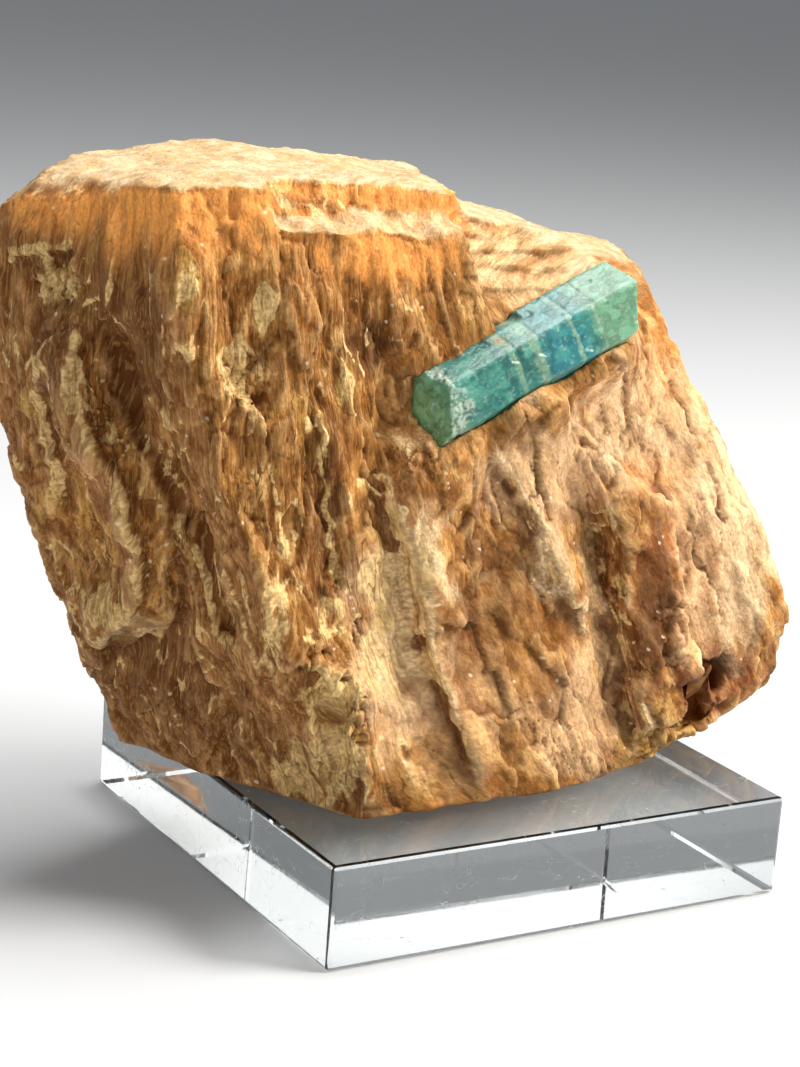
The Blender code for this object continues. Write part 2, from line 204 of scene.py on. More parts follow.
# Patches of each tint on each face: middle, half width and half height (mm), and strength
PATCHES = {
    ("dark", "left"): [
        ((-3.0, 53.0), 9.0, 7.0, 0.8),
        ((1.0, 21.0), 8.0, 3.5, 0.8),
        ((-4.0, 16.0), 9.0, 4.0, 0.45),
    ],
    ("dark", "front"): [
        ((-18.0, 53.5), 3.0, 2.8, 1.0),
        ((-22.3, 38.0), 1.3, 10.0, 0.9),
        ((-25.0, 40.0), 7.0, 12.0, 0.25),
        ((-14.0, 41.0), 7.0, 5.0, 0.25),
        ((-4.5, 29.0), 4.6, 7.5, 0.7),
        ((2.5, 20.0), 4.0, 4.0, 0.3),
        ((15.0, 26.0), 2.2, 9.5, 1.0),
    ],
    ("dark", "inner front"): [((23.0, 18.0), 5.0, 3.0, 1.0)],
    ("pale", "left"): [
        ((1.0, 26.5), 4.0, 3.0, 0.8),
        ((1.0, 57.5), 2.6, 2.6, 0.5),
    ],
    ("pale", "front"): [
        ((-20.3, 50.6), 1.1, 1.8, 0.7),
        ((-35.4, 60.0), 1.0, 3.4, 0.6),
        ((-28.4, 57.8), 0.8, 2.2, 0.9),
        ((-30.4, 51.5), 2.2, 4.0, 0.55),
        ((-14.0, 29.0), 4.4, 9.0, 1.0),
        ((-13.2, 31.0), 1.4, 7.0, 0.5),
        ((2.5, 31.0), 2.4, 3.5, 0.6),
        ((9.0, 28.0), 2.6, 9.0, 0.35),
        ((12.0, 43.0), 6.0, 2.6, 0.5),
        ((28.5, 25.0), 3.0, 6.0, 0.5),
        ((-21.5, 22.5), 3.0, 2.4, 0.8),
        ((-20.5, 15.0), 2.8, 4.6, 0.9),
        ((-22.0, 29.0), 2.6, 2.6, 0.55),
        ((-27.8, 31.0), 1.6, 7.5, 0.5),
    ],
    ("pale", "top"): [((-20.0, 0.0), 30.0, 16.0, 0.5)],
    ("orange", "front"): [
        ((-16.0, 61.5), 7.5, 2.2, 1.0),
        ((18.0, 50.0), 5.0, 6.0, 0.3),
        ((13.5, 39.5), 6.0, 1.6, 0.25),
    ],
    ("orange", "left"): [((1.0, 36.0), 5.0, 6.0, 0.12)],
    ("olive", "left"): [
        ((2.0, 32.0), 6.0, 9.0, 0.5),
        ((0.0, 57.0), 3.0, 4.0, 0.8),
        ((3.5, 46.0), 3.0, 3.0, 0.6),
    ],
    ("olive", "front"): [
        ((-20.3, 50.8), 1.3, 2.4, 1.0),
        ((-35.4, 59.5), 1.3, 4.0, 1.0),
        ((-28.4, 57.5), 0.9, 2.6, 0.7),
        ((-24.5, 46.5), 1.8, 3.0, 0.7),
        ((18.5, 16.5), 4.0, 3.0, 0.8),
        ((16.5, 12.5), 5.0, 2.2, 1.0),
        ((23.0, 12.8), 3.6, 1.8, 0.9),
        ((-20.3, 18.0), 3.0, 6.0, 0.6),
    ],
    ("pink", "front"): [
        ((-14.8, 26.0), 5.0, 13.0, 1.0),
        ((2.0, 41.0), 8.0, 6.0, 0.7),
        ((-7.0, 17.5), 7.0, 6.5, 0.25),
        ((8.0, 17.0), 8.0, 6.0, 0.6),
        ((14.0, 44.5), 11.0, 6.5, 1.0),
        ((25.0, 31.0), 7.5, 17.0, 1.0),
    ],
    ("red", "front"): [
        ((15.5, 31.0), 3.0, 7.0, 0.5),
        ((17.0, 25.0), 2.4, 8.0, 0.35),
    ],
    ("red", "inner front"): [((25.0, 17.6), 7.0, 4.0, 1.0)],
}

# The painted amber glow below the stone's top: how deep it reaches, and how far it takes to fade
# (mm)
GLOW_DEPTH = 7.0
GLOW_FADE = 4.5

# The feldspar's colours
CHESTNUT = (0.31, 0.112, 0.02)
TAN = (0.5, 0.225, 0.055)
PEACH = (0.76, 0.43, 0.15)
UMBER = (0.17, 0.052, 0.008)
LEFT_UMBER = (0.2, 0.066, 0.018)
LEFT_TAN = (0.52, 0.25, 0.09)
SALMON = (1.0, 0.66, 0.37)
OLIVE_CRUST = (0.55, 0.3, 0.07)
RED_BROWN = (0.34, 0.065, 0.005)
BLOCK_SHADE = (0.24, 0.09, 0.02)
# Painted highlight on what stands proud of the relief
PROUD_HIGHLIGHT = (0.8, 0.52, 0.24)
HOLLOW_SHADE = (0.15, 0.048, 0.008)
DEEP_BROWN = (0.1, 0.03, 0.009)
CREAM = (0.86, 0.64, 0.38)
FIBROUS_CREAM = (0.84, 0.58, 0.25)
DIRTY_CREAM = (0.46, 0.29, 0.08)
# The painted glow's amber, on the front and on the left face
FRONT_AMBER = (0.84, 0.33, 0.08)
LEFT_AMBER = (1.0, 0.4, 0.09)
TOP_TAN = (0.55, 0.36, 0.18)
TOP_CREAM = (0.66, 0.5, 0.31)
GROOVE_SHADE = (0.15, 0.05, 0.012)
FIBRE_LIGHT = (0.62, 0.37, 0.13)
# White specks painted as sparkle: painted glints
SPARKLE_WHITE = (1.0, 0.82, 0.58)
CRACK_SHADE = (0.07, 0.02, 0.004)
WAXY_SHEEN = (1.0, 0.75, 0.42, 1.0)

# The beryl's colours
DEEP_TEAL = (0.015, 0.22, 0.19)
SEA_GREEN = (0.11, 0.48, 0.36)
BLUE_ZONE = (0.01, 0.3, 0.38)
RIGHT_END_GREEN = (0.27, 0.58, 0.33)
END_MOSS = (0.14, 0.33, 0.07)
END_LEAF = (0.33, 0.56, 0.24)
DARK_BAND = (0.01, 0.17, 0.16)
PALE_BAND = (0.38, 0.56, 0.35)
UPPER_TEAL = (0.012, 0.2, 0.17)
# Painted sheen on the beryl's upward faces
UPPER_SHEEN = (0.3, 0.48, 0.46)
END_CRUST = (0.72, 0.82, 0.66)
VEIL = (0.46, 0.7, 0.56)
RUST = (0.33, 0.24, 0.05)

# Refractive indices
BERYL_INDEX = 1.57
ACRYLIC_INDEX = 1.49

# Acrylic, floor and room
ACRYLIC_TINT = (0.93, 0.97, 0.98, 1.0)
FLOOR_COLOUR = (0.62, 0.64, 0.66, 1.0)
ROOM_COLOUR = (0.96, 0.98, 1.0, 1.0)
ROOM_STRENGTH = 0.26

# What the lights point at (m)
LIGHT_AIM = (0.0, 0.0, 0.04)

# The stand's scratches, dust and faint waves (mm)
SCRATCH_SIZE = 3.0
SCRATCH_PATCH = 6.0
DUST_SIZE = 0.3
FACE_WAVES = 5.0

# Directions that the surface noise is made of
SLOPES = np.random.default_rng(11).normal(size=(256, 3))
SLOPES /= np.linalg.norm(SLOPES, axis=1)[:, None]


def ease(value):
    """A smooth step from 0 to 1."""
    value = np.clip(value, 0.0, 1.0)
    return value * value * (3.0 - 2.0 * value)


def past(value, start):
    """How far past a place a value is: 0 before it, and 1 once the distance is covered."""
    place, distance = start
    return ease((value - place) / distance)


def scramble(lattice, seed):
    """A repeatable scrambled whole number for each lattice point."""
    mixed = lattice[:, 0] * 73856093 ^ lattice[:, 1] * 19349663 ^ lattice[:, 2] * 83492791
    mixed = (mixed ^ (seed * 2654435761)) & 0xFFFFFFFF
    mixed = ((mixed ^ (mixed >> 15)) * 2246822519) & 0xFFFFFFFF
    mixed = ((mixed ^ (mixed >> 13)) * 3266489917) & 0xFFFFFFFF
    return mixed ^ (mixed >> 16)


def waves(cells, seed):
    """Smooth noise, mostly between -1 and 1, at points given in cells."""
    lowest = np.floor(cells)
    inside = cells - lowest
    lattice = lowest.astype(np.int64)
    fade = inside ** 3 * (inside * (inside * 6.0 - 15.0) + 10.0)
    total = np.zeros(len(cells))
    for corner in itertools.product((0, 1), repeat=3):
        step = np.array(corner)
        slope = SLOPES[scramble(lattice + step, seed) & 255]
        reach = np.einsum("ij,ij->i", slope, inside - step)
        total += reach * np.prod(np.where(step == 1, fade, 1.0 - fade), axis=1)
    return 1.8 * total


def layers(points, size, octaves, seed):
    """Noise of the given size (mm) with finer noise laid over it; each use has its own seed."""
    total = np.zeros(len(points))
    for octave in range(octaves):
        finer = 2.0 ** octave
        total += waves(points * finer / np.array(size), seed + octave) / finer
    return total


def plates(field, width):
    """Turn a smooth field into flat plates with steps between them, and find the steps' lips."""
    level = np.floor(field)
    past = field - level - 0.5
    lip = np.exp(-((past - 0.5 * width) / 0.09) ** 2)
    return level + ease(past / width + 0.5), lip


def blocks(cells, seed):
    """Broken blocks: a random height for each point's nearest block, tilted its own way, and how
    near the point is to a crack between two blocks."""
    home = np.floor(cells).astype(np.int64)
    nearest = np.full(len(cells), np.inf)
    second = np.full(len(cells), np.inf)
    height = np.zeros(len(cells))
    for step in itertools.product((-1, 0, 1), repeat=3):
        lattice = home + np.array(step)
        draw = scramble(lattice, seed)
        shift = np.stack([(draw >> bits & 255) / 255.0 for bits in (0, 8, 16)], axis=1)
        offset = cells - lattice - 0.15 - 0.7 * shift
        distance = np.linalg.norm(offset, axis=1)
        own = (draw >> 24 & 255) / 127.5 - 1.0 + np.einsum("ij,ij->i", offset, SLOPES[draw & 255])
        closer = distance < nearest
        second = np.where(closer, nearest, np.minimum(second, distance))
        height = np.where(closer, own, height)
        nearest = np.where(closer, distance, nearest)
    return height, np.exp(-((second - nearest) / 0.12) ** 2)


def strip(distance, middle, half_width):
    """A soft strip: 1 at its middle, fading out to both sides."""
    return np.exp(-((distance - middle) / half_width) ** 2)


def noise_relief(points, relief, octaves, seed):
    """Noise with a relief's cell size and height."""
    size, height = relief
    return height * layers(points, size, octaves, seed)


def thin_lines(points, size, octaves, seed, width):
    """Lines where noise passes through zero."""
    return strip(layers(points, size, octaves, seed), 0.0, width)


def patch_reach(points, face, middle, half_width, half_height):
    """How far out in an oval patch on a face each point lies: 1 is at its rim."""
    flat = points[:, FACES[face][1]] - np.array(middle)
    return np.hypot(flat[:, 0] / half_width, flat[:, 1] / half_height)


def line_distance(flat, points):
    """Distance of flat points from a line, positive on its right, and a weight that fades it
    out towards the line's two ends."""
    line = np.array(points)
    runs = line[1:] - line[:-1]
    lengths = np.linalg.norm(runs, axis=1)
    reached = np.concatenate(([0.0], np.cumsum(lengths)))
    nearest = np.full(len(flat), np.inf)
    signed = np.zeros(len(flat))
    along = np.zeros(len(flat))
    for start, run, length, before in zip(line, runs, lengths, reached):
        to_point = flat - start
        part_way = np.clip(to_point @ run / length ** 2, 0.0, 1.0)
        distance = np.linalg.norm(to_point - part_way[:, None] * run, axis=1)
        on_left = run[0] * to_point[:, 1] - run[1] * to_point[:, 0] > 0.0
        closer = distance < nearest
        nearest = np.where(closer, distance, nearest)
        signed = np.where(closer, np.where(on_left, -distance, distance), signed)
        along = np.where(closer, before + part_way * length, along)
    from_end = np.minimum(along, reached[-1] - along)
    return signed, ease(from_end / (0.15 * reached[-1]))


def read_vectors(items, field):
    """Points or normals of a mesh as an array."""
    values = np.empty(3 * len(items), dtype=np.float32)
    items.foreach_get(field, values)
    return values.reshape(-1, 3).astype(float)


def write_points(mesh, points):
    """Put points given in mm back into the mesh."""
    mesh.vertices.foreach_set("co", (points * MM).astype(np.float32).ravel())
    mesh.update()


def edge_ends(mesh):
    """The two vertex numbers of every edge."""
    ends = np.empty(2 * len(mesh.edges), dtype=np.int32)
    mesh.edges.foreach_get("vertices", ends)
    return ends.reshape(-1, 2)


def neighbour_mean(values, ends, count):
    """Each vertex's mean over the vertices that it shares an edge with."""
    shape = values.reshape(len(values), -1)
    columns = []
    for column in shape.T:
        total = np.bincount(ends[:, 0], column[ends[:, 1]], len(values))
        total += np.bincount(ends[:, 1], column[ends[:, 0]], len(values))
        columns.append(total / count)
    return np.stack(columns, axis=1).reshape(values.shape)


def soften(values, ends, rounds, share):
    """Even out values over the surface; share says how far each vertex takes part."""
    count = np.bincount(ends.ravel(), minlength=len(values)).astype(float)
    for _ in range(rounds):
        change = neighbour_mean(values, ends, count) - values
        values = values + (change.T * share).T
    return values


def crystal_frame():
    """The beryl's place: local Z runs along it, X points up across it and Y to the front."""
    rise, heading = CRYSTAL_RISE, CRYSTAL_HEADING
    along = Vector((math.cos(rise) * math.cos(heading), math.cos(rise) * math.sin(heading),
                    math.sin(rise)))
    up = Vector((-math.sin(rise) * math.cos(heading), -math.sin(rise) * math.sin(heading),
                 math.cos(rise)))
    return np.array((up, along.cross(up), along))


def in_crystal(points):
    """Points (mm) as seen from the beryl: up across it, to its front, and along it."""
    return (points - np.array(CRYSTAL_CENTRE)) @ crystal_frame().T


def across_crystal(angle):
    """The direction across the beryl at an angle turned from its front towards its top."""
    return np.array((math.sin(angle), math.cos(angle), 0.0))


def outside_crystal(points):
    """How far points (mm) lie outside the beryl's hexagonal prism, and which way is outwards."""
    local = in_crystal(points)
    flats = [(across_crystal(angle), CRYSTAL_SIDE * math.cos(math.radians(30.0)))
             for angle in CRYSTAL_ROLL + np.radians(np.arange(30.0, 390.0, 60.0))]
    for reach, slant, towards in (CRYSTAL_LEFT_END, CRYSTAL_RIGHT_END):
        direction = math.copysign(1.0, reach) * (np.array((0.0, 0.0, 1.0))
                                                 - slant * across_crystal(towards))
        direction /= np.linalg.norm(direction)
        flats.append((direction, reach * direction[2]))
    furthest = np.full(len(points), -np.inf)
    outwards = np.zeros((len(points), 3))
    for direction, reach in flats:
        distance = local @ direction - reach
        outwards[distance > furthest] = direction
        furthest = np.maximum(furthest, distance)
    return furthest, outwards @ crystal_frame()


def close_socket(points):
    """Draw the stone near the beryl up to it, so that no gap shows round it."""
    distance, outwards = outside_crystal(points)
    near = np.clip((SEAT_REACH - distance) / (SEAT_REACH - SOCKET_GAP), 0.0, 1.0)
    local = in_crystal(points)
    rear = across_crystal(CRYSTAL_REAR_EDGE)
    past_splinter = np.clip(local @ rear - CRYSTAL_SIDE + CRYSTAL_STEP_DEPTH, 0.0,
                            CRYSTAL_STEP_DEPTH + SOCKET_GAP)
    past_splinter *= ease((CRYSTAL_STEP_AT - local[:, 2]) / 0.5)
    points = points - (near * past_splinter)[:, None] * (rear @ crystal_frame())
    return points - (near * (SOCKET_GAP - CLOSED_GAP))[:, None] * outwards


def fine_copy(node, name, voxel):
    """A finely meshed copy of a CAD solid."""
    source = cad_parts[node]
    made = bpy.data.objects.new(name, source.data.copy())
    bpy.context.scene.collection.objects.link(made)
    made.data.materials.clear()
    even_faces = made.modifiers.new("even faces", "REMESH")
    even_faces.mode = "VOXEL"
    even_faces.voxel_size = voxel * MM
    bake(made)
    return made


def bake(made):
    """Give an object the mesh that its modifiers make, without doubled faces."""
    graph = bpy.context.evaluated_depsgraph_get()
    finished = bpy.data.meshes.new_from_object(made.evaluated_get(graph))
    finished.validate()
    made.modifiers.clear()
    made.data = finished
    made.data.name = made.name


def store_place(mesh, name, places):
    """Keep a place (mm) for each vertex, which textures are laid out by."""
    layer = mesh.attributes.new(name, "FLOAT_VECTOR", "POINT")
    layer.data.foreach_set("vector", places.astype(np.float32).ravel())


def store(mesh, name, channels):
    """Keep up to four values a vertex on the mesh as one colour."""
    values = np.ones((len(mesh.vertices), 4), dtype=np.float32)
    for column, channel in enumerate(channels):
        values[:, column] = np.clip(channel, 0.0, 1.0)
    layer = mesh.color_attributes.new(name, "FLOAT_COLOR", "POINT")
    layer.data.foreach_set("color", values.ravel())


def with_grain(points):
    """Points moved so that the stone's leaning grain stands upright."""
    lean = 0.08 + 0.42 * past(points[:, 0], LEANING_RIGHT_OF)
    front = past(points[:, 1], LEANING_FRONT_OF)
    straight = points.copy()
    straight[:, 0] += lean * front * (points[:, 2] - 40.0)
    wander = layers(points, (9.0, 9.0, 14.0), 2, 300)
    straight[:, 0] += 0.35 * wander
    straight[:, 1] += 0.15 * wander
    return straight


def stone_tints(points, normals, grain):
    """How strongly each tint shows at each point, before cracks and edges add theirs."""
    tints = {tint: np.zeros(len(points)) for tint, _ in PATCHES}
    ragged = layers(grain, (2.6, 2.6, 5.0), 3, 400)
    for (tint, face), patches in PATCHES.items():
        direction, _, _, turned = FACES[face]
        facing = ease((normals @ np.array(direction) - turned) / 0.4)
        for middle, half_width, half_height, strength in patches:
            reach = patch_reach(points, face, middle, half_width, half_height)
            spread = 1.0 - ease((reach - 0.55 + 0.55 * ragged) / 0.8)
            tints[tint] = np.maximum(tints[tint], strength * spread * facing)
    # Painted amber glow below the top, on upright faces at the left and front
    upright = 1.0 - ease((normals[:, 2] - 0.3) / 0.4)
    left_or_front = past(points[:, 0], GLOW_LEFT_OF)
    ragged_depth = 1.0 + 0.35 * layers(grain, (3.0, 3.0, 30.0), 2, 410)
    glow = ease((GLOW_DEPTH * ragged_depth + points[:, 2] - TOP_HEIGHT) / GLOW_FADE)
    glow *= upright * left_or_front * (1.0 - 0.7 * ease(normals[:, 1]))
    tints["orange"] = np.maximum(tints["orange"], 0.9 * glow)
    return tints


def edge_relief(points, facing):
    """The steps along the block's broken edges: their height, painted bright lips and painted
    shaded feet.
    """
    height = np.zeros(len(points))
    lips = np.zeros(len(points))
    feet = np.zeros(len(points))
    ragged = 0.75 * layers(points, (2.4, 2.4, 3.4), 4, 20)
    for face, rise, line in EDGES:
        _, axes, handed, _ = FACES[face]
        raggedness, brightness = (0.4, 1.3) if face == "left" else (1.0, 1.0)
        distance, weight = line_distance(points[:, axes], line)
        distance = handed * distance + raggedness * ragged
        share = weight * facing[face]
        high = -0.5 * np.tanh(distance / EDGE_SHARPNESS)
        height += share * rise * high * strip(distance, 0.0, EDGE_REACH)
        lips = np.maximum(lips, brightness * share * strip(distance, *EDGE_LIP))
        feet = np.maximum(feet, share * strip(distance, *EDGE_FOOT))
    return height, lips, feet


def cluster_height(points, facing):
    """How far the small square crystals of the clusters stand out at each point."""
    here = np.zeros(len(points))
    ragged = 0.3 * layers(points, (2.0, 2.0, 2.0), 2, 17)
    for face, middle, half_width, half_height in CLUSTERS:
        reach = patch_reach(points, face, middle, half_width, half_height) + ragged
        here = np.maximum(here, facing[face] * ease((1.1 - reach) / 0.3))
    size, height = CLUSTER_CRYSTALS
    square, between = blocks(points / size, 18)
    return here * (height * square - 0.25 * between)


def pit_depth(points, facing):
    """How deep the broken hollows are at each point."""
    depth = np.zeros(len(points))
    ragged = 0.25 * layers(points, (2.0, 2.0, 2.6), 3, 15)
    for face, middle, half_width, half_height, deepest in PITS:
        reach = patch_reach(points, face, middle, half_width, half_height) + ragged
        depth = np.maximum(depth, deepest * facing[face] * ease((1.0 - reach) / 0.6))
    return depth


class StoneSurface:
    """The stone's points (mm), evened out, and what its fine relief depends on at each of them."""

    def __init__(self, mesh):
        points = read_vectors(mesh.vertices, "co") / MM
        self.ends = edge_ends(mesh)
        from_crystal, _ = outside_crystal(points)
        self.loose = ease((from_crystal - SOCKET_GAP) / SOCKET_MARGIN)
        self.loose *= past(points[:, 2], RELIEF_ABOVE)
        points = soften(points, self.ends, STONE_ROUNDS, EVENING_SHARE * self.loose)
        self.find_facing(read_vectors(mesh.vertices, "normal"))
        calm_face = CALM_STRETCH[0]
        self.calm = self.facing[calm_face] * ease((1.2 - patch_reach(points, *CALM_STRETCH)) / 0.5)
        share = EVENING_SHARE * self.loose * self.calm
        self.points = soften(points, self.ends, CALM_ROUNDS, share)
        write_points(mesh, self.points)
        self.normals = read_vectors(mesh.vertices, "normal")
        self.grain = with_grain(self.points)
        self.find_stretches()

    def find_facing(self, normals):
        """How squarely each point looks the way of each of the block's faces."""
        self.facing = {}
        for name, (direction, _, _, turned) in FACES.items():
            self.facing[name] = ease((normals @ np.array(direction) - turned - 0.2) / 0.4)

    def find_stretches(self):
        """Which kind of surface each point belongs to, each from 0 to 1."""
        across = self.points[:, 0]
        height = self.points[:, 2]
        upward = self.normals[:, 2]
        left = self.facing["left"]
        self.side = 1.0 - ease((np.abs(upward) - 0.45) / 0.35)
        self.flat_top = ease((upward - 0.6) / 0.3) * past(height, FLAT_TOP_ABOVE)
        self.ledge = self.flat_top * past(across, LEDGE_LEFT_OF) * past(height, LEDGE_BELOW)
        self.rim = self.side * past(height, RIM_ABOVE) * (1.0 - self.facing["back"])
        self.fibrous = self.side * np.maximum(left, past(across, FIBROUS_LEFT_OF))
        self.woody = self.side * 0.25 + 0.75 * self.fibrous
        self.woody *= 1.0 - 0.6 * past(height, SMOOTHER_ABOVE)
        self.blocky = self.side * (1.0 - 0.8 * left)
        self.broken = ease(layers(self.points, (9.0, 9.0, 12.0), 2, 28) + 0.55)

    def block_relief(self):
        """Cleavage blocks of two sizes: their height, how high the smaller ones are, and cracks."""
        warped = self.grain + 0.6 * layers(self.points, (3.0, 3.0, 3.0), 2, 25)[:, None]
        coarse_size, coarse_height = COARSE_BLOCKS
        middling_size, middling_height = MIDDLING_BLOCKS
        coarse, coarse_cracks = blocks(warped / coarse_size, 26)
        middling, middling_cracks = blocks(warped / middling_size, 27)
        height = coarse_height * coarse + middling_height * self.broken * middling
        cracks = np.maximum(0.6 * self.broken * middling_cracks, 0.5 * coarse_cracks)
        return self.blocky * height, middling, self.blocky * cracks

    def plate_relief(self):
        """Thin plates of two sizes: their height and their bright lips."""
        broad_size, broad_height = BROAD_PLATES
        narrow_size, narrow_height = NARROW_PLATES
        broad_step, broad_lip = plates(3.0 * layers(self.grain, broad_size, 3, 30), 0.12)
        narrow_step, narrow_lip = plates(2.2 * layers(self.grain, narrow_size, 2, 40), 0.2)
        height = self.woody * (broad_height * broad_step + narrow_height * narrow_step)
        return height, self.woody * (0.8 * broad_lip + 0.4 * narrow_lip)

    def sliver_share(self):
        """Where upright slivers stand out, most of them on the left face."""
        slivers = thin_lines(self.grain, SLIVERS[0], 1, 55, 0.08)
        slivers *= self.side * (0.15 + 0.85 * self.facing["left"])
        return slivers * ease((layers(self.points, (3.0, 3.0, 7.0), 2, 56) + 0.05) / 0.3)

    def crack_share(self, block_cracks):
        """Where cracks run: long ones along the grain, and those between blocks."""
        cracks = thin_lines(self.grain, CRACKS[0], 2, 60, 0.035)
        cracks *= self.side * ease(layers(self.points, (9.0, 9.0, 12.0), 1, 70) + 0.4)
        middle, half_sizes = BULGE
        from_bulge = np.hypot(*((self.points[:, [0, 2]] - middle) / half_sizes).T)
        smooth = np.clip(1.0 - 0.9 * from_bulge, 0.0, 1.0)
        return np.maximum(cracks, block_cracks) * (1.0 - smooth)

    def rough_relief(self):
        """Grains, lumps, splinters, and the uneven rim, ledge and levels near the top."""
        lump_size, lump_height = LUMPS
        lumpy = layers(self.points, lump_size, 2, 85)
        height = self.woody * noise_relief(self.grain, SPLINTERS, 2, 50)
        height += self.rim * noise_relief(self.points, RIM_NIBBLES, 2, 86)
        height += LEDGE_WAVE * self.ledge * lumpy
        height += (1.0 + self.facing["top"]) * noise_relief(self.points, GRAINS, 2, 80)
        height += lump_height * (self.side - self.fibrous) * lumpy
        level = self.points[:, 2] / LEVEL_SPACING
        steps, _ = plates(level + 0.5 * layers(self.points, (7.0, 7.0, 3.0), 2, 90), 0.25)
        layered = self.facing["front"] * past(self.points[:, 2], LEVELS_ABOVE)
        layered *= past(self.points[:, 0], LEVELS_RIGHT_OF)
        return height + LEVEL_STEP * layered * (steps - level)

    def hollows(self, height):
        """How much each point lies in a hollow of the relief, and how much it stands proud."""
        hollow, proud = 0.0, 0.0
        for share, (rounds, depth) in ((0.5, FINE_HOLLOWS), (1.0, WIDE_HOLLOWS)):
            below = (soften(height, self.ends, rounds, EVENING_SHARE) - height) / depth
            hollow = hollow + share * np.clip(below, 0.0, 1.0)
            proud = proud + share * np.clip(-below, 0.0, 1.0)
        return hollow, proud


def dress_stone():
    """The feldspar's fine surface: crisp plate edges, cleavage blocks, striations and grain."""
    made = fine_copy("feldspar_matrix", "feldspar", STONE_VOXEL)
    mesh = made.data
    stone = StoneSurface(mesh)
    edge_height, lips, feet = edge_relief(stone.points, stone.facing)
    block_height, middling, block_cracks = stone.block_relief()
    plate_height, plate_lips = stone.plate_relief()
    slivers = stone.sliver_share()
    cracks = stone.crack_share(block_cracks)
    height = (1.0 - 0.5 * stone.calm) * edge_height
    height += cluster_height(stone.points, stone.facing) - pit_depth(stone.points, stone.facing)
    height += block_height + plate_height + stone.rough_relief()
    height += SLIVERS[1] * slivers - CRACKS[1] * cracks
    points = close_socket(stone.points + (height * stone.loose)[:, None] * stone.normals)
    write_points(mesh, points)

    tints = stone_tints(points, stone.normals, stone.grain)
    # Pale on the edges' lips, on slivers and on plate lips: partly cream flakes, partly painted
    # highlight
    plate_lips *= ease(layers(points, (5.0, 5.0, 8.0), 2, 95) + 0.45)
    edge_light = np.maximum(np.maximum(lips, 0.8 * slivers), plate_lips)
    edge_light = np.minimum(edge_light, 1.1) * (1.0 - tints["red"])
    tints["pale"] = np.maximum(tints["pale"], 0.85 * edge_light)
    # Dark on cracks, and painted shadow at the feet of the edges' steps
    tints["dark"] = np.maximum(tints["dark"], np.maximum(0.7 * cracks, 0.8 * feet))
    top = stone.flat_top - 0.4 * stone.ledge
    store_place(mesh, "grain", stone.grain)
    # Dark, pale and orange tints, with the painted shadow, painted highlight and painted glow that
    # they carry
    store(mesh, "tints_and_painted_light", (tints["dark"], tints["pale"], tints["orange"]))
    store(mesh, "hues", (tints["olive"], tints["pink"], tints["red"]))
    store(mesh, "sides", (stone.facing["left"], top, stone.fibrous))
    store(mesh, "relief", (*stone.hollows(height), 0.5 + 0.5 * middling))

    fewer = made.modifiers.new("fewer faces", "DECIMATE")
    fewer.ratio = min(1.0, STONE_TRIANGLES / (2.0 * len(mesh.polygons)))
    bake(made)
    made.data.shade_smooth()
    made.data.materials.append(feldspar_material())
    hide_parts("feldspar_matrix")
    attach(made, BODY)


def dress_beryl():
    """The beryl's fine surface: ribs along its faces, chipped edges and a crusted left end."""
    made = fine_copy("beryl_crystal", "beryl", BERYL_VOXEL)
    mesh = made.data
    points = read_vectors(mesh.vertices, "co") / MM
    points = soften(points, edge_ends(mesh), BERYL_ROUNDS, BERYL_EVENING_SHARE)
    write_points(mesh, points)
    normals = read_vectors(mesh.vertices, "normal")
    local = in_crystal(points)
    ragged = 0.15 * local[:, 0] + 1.6 * layers(points, (2.0, 2.0, 2.0), 3, 500)
    crust = past(local[:, 2] - ragged, CRUST_LEFT_OF)
    crust *= 1.0 - ease((-normals @ crystal_frame()[2] - 0.2) / 0.4)
    # The beryl's upward faces, which the material gives a painted sheen
    upper = ease((normals @ crystal_frame()[0] - 0.5) / 0.3)
    height = 0.012 * layers(local, (0.8, 0.8, 7.0), 2, 510)
    height += 0.07 * layers(local, (3.0, 3.0, 4.0), 3, 520) - 0.06
    height += 0.16 * crust * layers(points, (0.8, 0.8, 0.8), 2, 530)
    height -= 0.12 * ease((layers(local, (1.4, 1.4, 1.8), 2, 540) - 0.55) / 0.2)
    for middle, half_width in BERYL_BANDS:
        height -= 0.06 * strip(local[:, 2], middle + half_width, 0.2)
    rust = ease(1.4 - np.linalg.norm(local - np.array(RUST_FLECK), axis=1) / 0.7)
    write_points(mesh, points + height[:, None] * normals)
    store_place(mesh, "along_crystal", local)
    store(mesh, "zones", (crust, upper, rust))
    made.data.shade_smooth()
    made.data.materials.append(beryl_material())
    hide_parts("beryl_crystal")
    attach(made, BODY)


